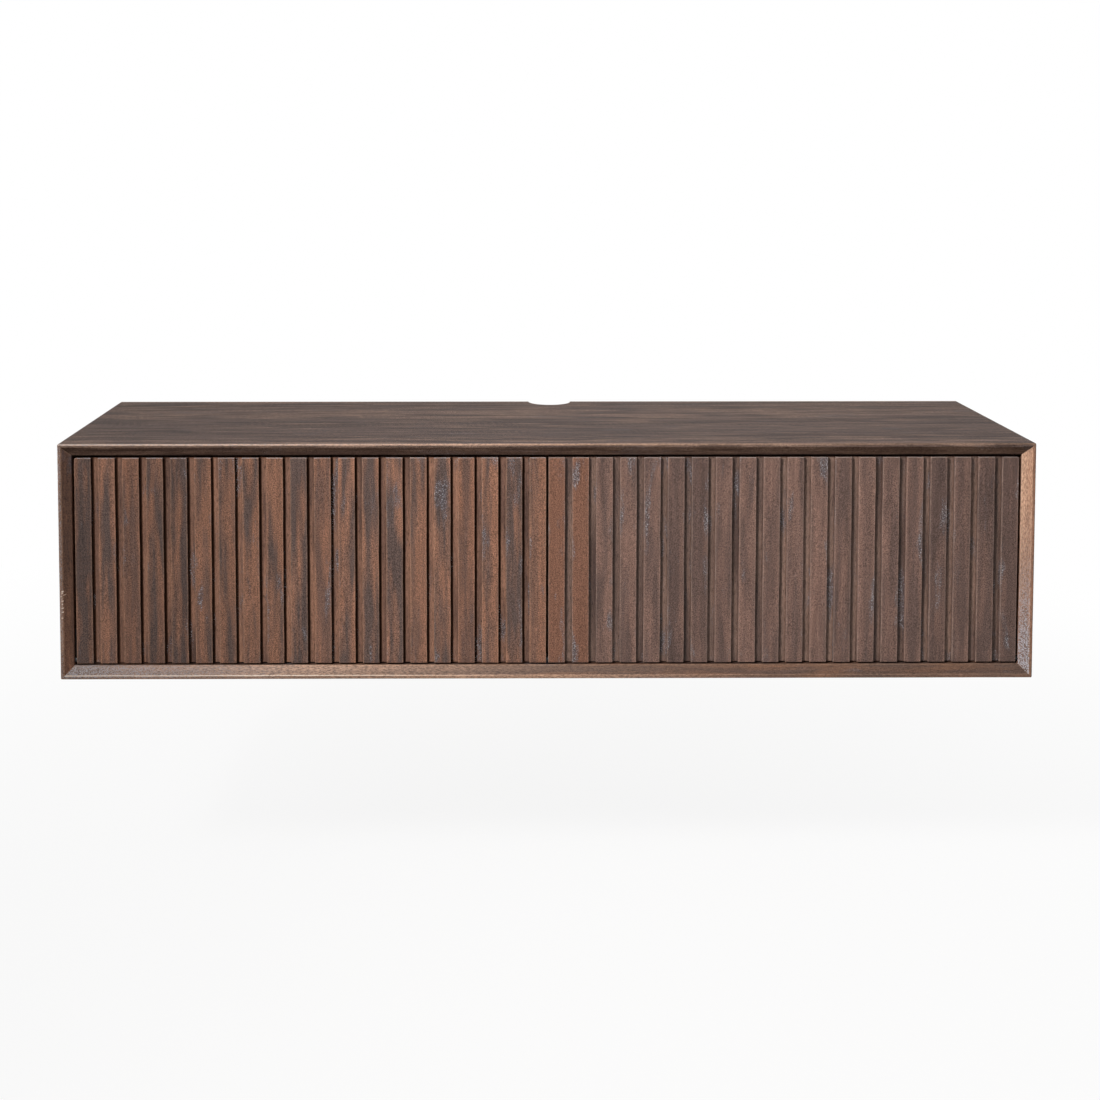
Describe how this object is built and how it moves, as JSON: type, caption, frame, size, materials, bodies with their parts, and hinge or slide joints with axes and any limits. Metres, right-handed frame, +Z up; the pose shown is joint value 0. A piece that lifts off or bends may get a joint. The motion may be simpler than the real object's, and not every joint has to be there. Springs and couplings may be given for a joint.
{
  "type": "floating media console",
  "caption": "Wall-hung low cabinet with a mitred, bevelled hardwood carcase, vertical-slat drop-down flaps on stays, and a cable notch in the top.",
  "frame": {"origin": "on the wall plane, in the middle of the cabinet's width, at the height of the wall screws", "axes": "+X to the right seen from the front, +Y into the wall, +Z up"},
  "size_m": [1.5, 0.4, 0.366],
  "materials": {
    "walnut_stained_wood": "satin lacquer over walnut stain",
    "walnut_stained_slats": "satin lacquer over walnut stain",
    "walnut_stained_board": "satin lacquer over walnut stain",
    "stained_plywood": "stained, matt",
    "birch_plywood": "raw",
    "beech": "raw, fluted dowel rod",
    "pine_batten": "planed, unfinished",
    "zinc_steel": "zinc plated",
    "nylon": "moulded, natural",
    "grey_plastic": "moulded, fine grain",
    "black_plastic": "moulded, fine grain",
    "soft_rubber": "moulded, soft"
  },
  "bodies": {
    "cabinet": {"top_panel": "walnut_stained_wood", "bottom_panel": "walnut_stained_wood", "mitre_splines": "birch_plywood", "centre_divider": "walnut_stained_wood", "divider_dowels": "beech", "wall_rail": "pine_batten", "centre_pivot_bracket": "zinc_steel", "centre_pivot_pin": "zinc_steel", "pivot_washers": "nylon", "pivot_screws": "zinc_steel", "left_side_panel": "walnut_stained_wood", "left_back_panel": "stained_plywood", "left_cable_grommet": "black_plastic", "left_hanging_rail": "pine_batten", "left_stop_rail": "walnut_stained_wood", "left_stop_buffers": "soft_rubber", "left_latch_housing": "grey_plastic", "left_latch_spring": "zinc_steel", "left_pivot_plate": "zinc_steel", "left_pivot_pin": "zinc_steel", "left_stay_screw": "zinc_steel", "left_stay_spacer": "nylon", "right_side_panel": "walnut_stained_wood", "right_back_panel": "stained_plywood", "right_cable_grommet": "black_plastic", "right_hanging_rail": "pine_batten", "right_stop_rail": "walnut_stained_wood", "right_stop_buffers": "soft_rubber", "right_latch_housing": "grey_plastic", "right_latch_spring": "zinc_steel", "right_pivot_plate": "zinc_steel", "right_pivot_pin": "zinc_steel", "right_stay_screw": "zinc_steel", "right_stay_spacer": "nylon"},
    "left_flap": {"left_flap_panel": "walnut_stained_board", "left_flap_slats": "walnut_stained_slats", "left_flap_inner_leaf": "zinc_steel", "left_flap_outer_leaf": "zinc_steel", "left_flap_screws": "zinc_steel", "left_strike_plate": "zinc_steel", "left_stay_bracket": "zinc_steel", "left_stay_rivet": "zinc_steel"},
    "left_stay": {"left_stay_arm": "zinc_steel"},
    "left_plunger": {"left_latch_plunger": "nylon"},
    "right_flap": {"right_flap_panel": "walnut_stained_board", "right_flap_slats": "walnut_stained_slats", "right_flap_inner_leaf": "zinc_steel", "right_flap_outer_leaf": "zinc_steel", "right_flap_screws": "zinc_steel", "right_strike_plate": "zinc_steel", "right_stay_bracket": "zinc_steel", "right_stay_rivet": "zinc_steel"},
    "right_stay": {"right_stay_arm": "zinc_steel"},
    "right_plunger": {"right_latch_plunger": "nylon"}
  },
  "joints": [
    {"name": "left_flap_hinge", "type": "hinge", "parent": "cabinet", "child": "left_flap", "pos_m": [-0.3646, -0.3835, -0.2489], "axis": [1, 0, 0], "range_deg": [0, 90]},
    {"name": "left_stay_pivot", "type": "hinge", "parent": "left_flap", "child": "left_stay", "pos_m": [-0.7235, -0.3475, -0.12398], "axis": [1, 0, 0], "range_deg": [-45, 0]},
    {"name": "left_plunger_press", "type": "slide", "parent": "cabinet", "child": "left_plunger", "axis": [0, 1, 0], "range_m": [0, 0.0015], "stiffness_N_per_m": 400, "springref_m": -0.004, "deforming": ["left_latch_spring"]},
    {"name": "right_flap_hinge", "type": "hinge", "parent": "cabinet", "child": "right_flap", "pos_m": [0.3646, -0.3835, -0.2489], "axis": [1, 0, 0], "range_deg": [0, 90]},
    {"name": "right_stay_pivot", "type": "hinge", "parent": "right_flap", "child": "right_stay", "pos_m": [0.7235, -0.3475, -0.12398], "axis": [1, 0, 0], "range_deg": [-45, 0]},
    {"name": "right_plunger_press", "type": "slide", "parent": "cabinet", "child": "right_plunger", "axis": [0, 1, 0], "range_m": [0, 0.0015], "stiffness_N_per_m": 400, "springref_m": -0.004, "deforming": ["right_latch_spring"]}
  ],
  "couplings": [
    {"joint": "left_stay_pivot", "follows": "left_flap_hinge", "ratio": -0.5},
    {"joint": "right_stay_pivot", "follows": "right_flap_hinge", "ratio": -0.5}
  ]
}
